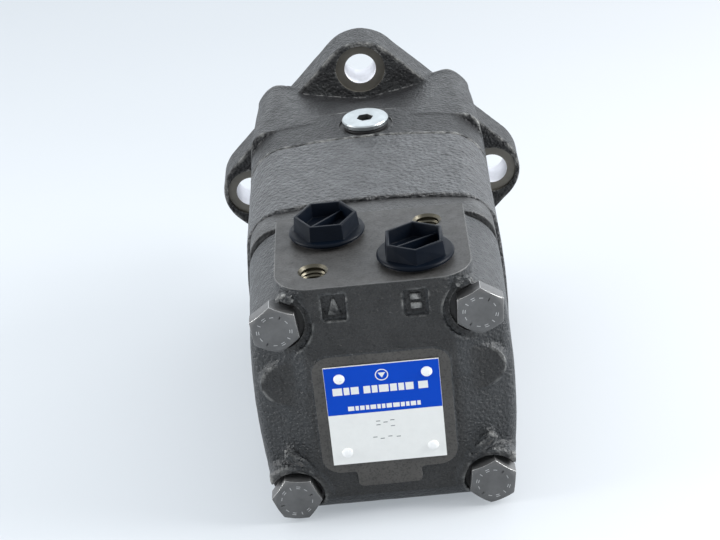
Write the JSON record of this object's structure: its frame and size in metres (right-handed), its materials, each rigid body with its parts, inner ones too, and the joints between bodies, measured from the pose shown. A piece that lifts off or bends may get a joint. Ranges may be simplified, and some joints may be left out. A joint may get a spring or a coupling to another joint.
{
  "type": "hydraulic motor",
  "caption": "Orbital disc-valve hydraulic motor with a lobed mounting flange, keyed shaft, stacked cast body, long clamp bolts and capped side ports.",
  "frame": {"origin": "under the middle of the motor, level with the lowest flange lobe", "axes": "+Y along the shaft, out of the flange; +Z the way the two ports open; +X to the right seen from behind the rear cover"},
  "size_m": [0.1314, 0.2594, 0.1314],
  "materials": {
    "cast_body": "satin dark grey coat over rough cast iron",
    "ground_plate": "satin dark grey coat over a smoother casting",
    "bolt_steel": "bare grey steel with bright worn edges",
    "zinc_plate": "bright zinc plating",
    "seal_rubber": "black nitrile rubber",
    "cap_plastic": "satin navy-black moulded plastic",
    "plate_face": "printed aluminium, blue upper band over silver white",
    "rivet_metal": "plain aluminium rivet head",
    "shaft_steel": "ground steel",
    "plain_steel": "plain machined steel",
    "cage_brass": "pressed brass cage",
    "bearing_steel": "polished bearing steel",
    "valve_bronze": "lapped bronze",
    "hard_steel": "ground hardened steel"
  },
  "bodies": {
    "root": {"balance_ring": "valve_bronze", "balance_spring": "plain_steel", "cover_bolt_1": "bolt_steel", "cover_bolt_2": "bolt_steel", "cover_bolt_3": "bolt_steel", "cover_bolt_4": "bolt_steel", "cover_o_ring": "seal_rubber", "drain_plug": "zinc_plate", "drain_plug_washer": "seal_rubber", "dust_seal": "seal_rubber", "front_bearing_cup": "bearing_steel", "front_housing": "cast_body", "gear_ring": "cast_body", "housing_o_ring": "seal_rubber", "nameplate": "plate_face", "nameplate_rivet_1": "rivet_metal", "nameplate_rivet_2": "rivet_metal", "nameplate_rivet_3": "rivet_metal", "nameplate_rivet_4": "rivet_metal", "port_cap_a": "cap_plastic", "port_cap_b": "cap_plastic", "port_cap_seal_a": "seal_rubber", "port_cap_seal_b": "seal_rubber", "rear_bearing_cup": "bearing_steel", "rear_cover": "cast_body", "ring_o_ring": "seal_rubber", "shaft_seal": "seal_rubber", "valve_plate": "ground_plate", "wear_plate": "hard_steel"},
    "shaft": {"output_shaft": "shaft_steel", "shaft_key": "plain_steel", "shaft_nut": "plain_steel", "front_bearing_cone": "bearing_steel", "rear_bearing_cone": "bearing_steel"},
    "orbit": {"link_spacer": "hard_steel"},
    "rotor": {"rotor": "hard_steel"},
    "drive_link": {"drive_link": "hard_steel"},
    "valve_drive_link": {"valve_drive_link": "hard_steel"},
    "disc_valve": {"disc_valve": "valve_bronze"},
    "front_cage": {"front_bearing_rollers": "cage_brass"},
    "rear_cage": {"rear_bearing_rollers": "cage_brass"},
    "roller_1": {"roller_1": "bearing_steel"},
    "roller_2": {"roller_2": "bearing_steel"},
    "roller_3": {"roller_3": "bearing_steel"},
    "roller_4": {"roller_4": "bearing_steel"},
    "roller_5": {"roller_5": "bearing_steel"},
    "roller_6": {"roller_6": "bearing_steel"},
    "roller_7": {"roller_7": "bearing_steel"}
  },
  "joints": [
    {"name": "shaft_spin", "type": "hinge", "parent": "root", "child": "shaft", "pos_m": [0, 0.05025, 0.0657], "axis": [0, 1, 0], "continuous": true},
    {"name": "orbit_spin", "type": "hinge", "parent": "root", "child": "orbit", "pos_m": [0, -0.04315, 0.0657], "axis": [0, 1, 0], "continuous": true},
    {"name": "rotor_spin", "type": "hinge", "parent": "orbit", "child": "rotor", "pos_m": [0.0025, -0.03225, 0.0657], "axis": [0, 1, 0], "continuous": true},
    {"name": "drive_link_spin", "type": "hinge", "parent": "orbit", "child": "drive_link", "pos_m": [0, 0.02025, 0.0657], "axis": [-0.048, 0.9988, 0], "continuous": true},
    {"name": "valve_link_spin", "type": "hinge", "parent": "orbit", "child": "valve_drive_link", "pos_m": [0, -0.07925, 0.0657], "axis": [0.0874, 0.9962, 0], "continuous": true},
    {"name": "valve_spin", "type": "hinge", "parent": "root", "child": "disc_valve", "pos_m": [0, -0.07775, 0.0657], "axis": [0, 1, 0], "continuous": true},
    {"name": "front_cage_spin", "type": "hinge", "parent": "root", "child": "front_cage", "pos_m": [0, 0.04625, 0.0657], "axis": [0, 1, 0], "continuous": true},
    {"name": "rear_cage_spin", "type": "hinge", "parent": "root", "child": "rear_cage", "pos_m": [0, 0.02625, 0.0657], "axis": [0, 1, 0], "continuous": true},
    {"name": "roller_1_spin", "type": "hinge", "parent": "root", "child": "roller_1", "pos_m": [0.033, -0.03225, 0.0657], "axis": [0, 1, 0], "continuous": true},
    {"name": "roller_2_spin", "type": "hinge", "parent": "root", "child": "roller_2", "pos_m": [0.02057, -0.03225, 0.0915], "axis": [0, 1, 0], "continuous": true},
    {"name": "roller_3_spin", "type": "hinge", "parent": "root", "child": "roller_3", "pos_m": [-0.00734, -0.03225, 0.09787], "axis": [0, 1, 0], "continuous": true},
    {"name": "roller_4_spin", "type": "hinge", "parent": "root", "child": "roller_4", "pos_m": [-0.02973, -0.03225, 0.08002], "axis": [0, 1, 0], "continuous": true},
    {"name": "roller_5_spin", "type": "hinge", "parent": "root", "child": "roller_5", "pos_m": [-0.02973, -0.03225, 0.05138], "axis": [0, 1, 0], "continuous": true},
    {"name": "roller_6_spin", "type": "hinge", "parent": "root", "child": "roller_6", "pos_m": [-0.00734, -0.03225, 0.03353], "axis": [0, 1, 0], "continuous": true},
    {"name": "roller_7_spin", "type": "hinge", "parent": "root", "child": "roller_7", "pos_m": [0.02057, -0.03225, 0.0399], "axis": [0, 1, 0], "continuous": true}
  ],
  "couplings": [
    {"joint": "orbit_spin", "follows": "shaft_spin", "ratio": -6},
    {"joint": "rotor_spin", "follows": "shaft_spin", "ratio": 7},
    {"joint": "drive_link_spin", "follows": "shaft_spin", "ratio": 7},
    {"joint": "valve_link_spin", "follows": "shaft_spin", "ratio": 7},
    {"joint": "valve_spin", "follows": "shaft_spin", "ratio": 1},
    {"joint": "front_cage_spin", "follows": "shaft_spin", "ratio": 0.42},
    {"joint": "rear_cage_spin", "follows": "shaft_spin", "ratio": 0.43},
    {"joint": "roller_1_spin", "follows": "shaft_spin", "ratio": -3.9},
    {"joint": "roller_2_spin", "follows": "shaft_spin", "ratio": -3.9},
    {"joint": "roller_3_spin", "follows": "shaft_spin", "ratio": -3.9},
    {"joint": "roller_4_spin", "follows": "shaft_spin", "ratio": -3.9},
    {"joint": "roller_5_spin", "follows": "shaft_spin", "ratio": -3.9},
    {"joint": "roller_6_spin", "follows": "shaft_spin", "ratio": -3.9},
    {"joint": "roller_7_spin", "follows": "shaft_spin", "ratio": -3.9}
  ]
}
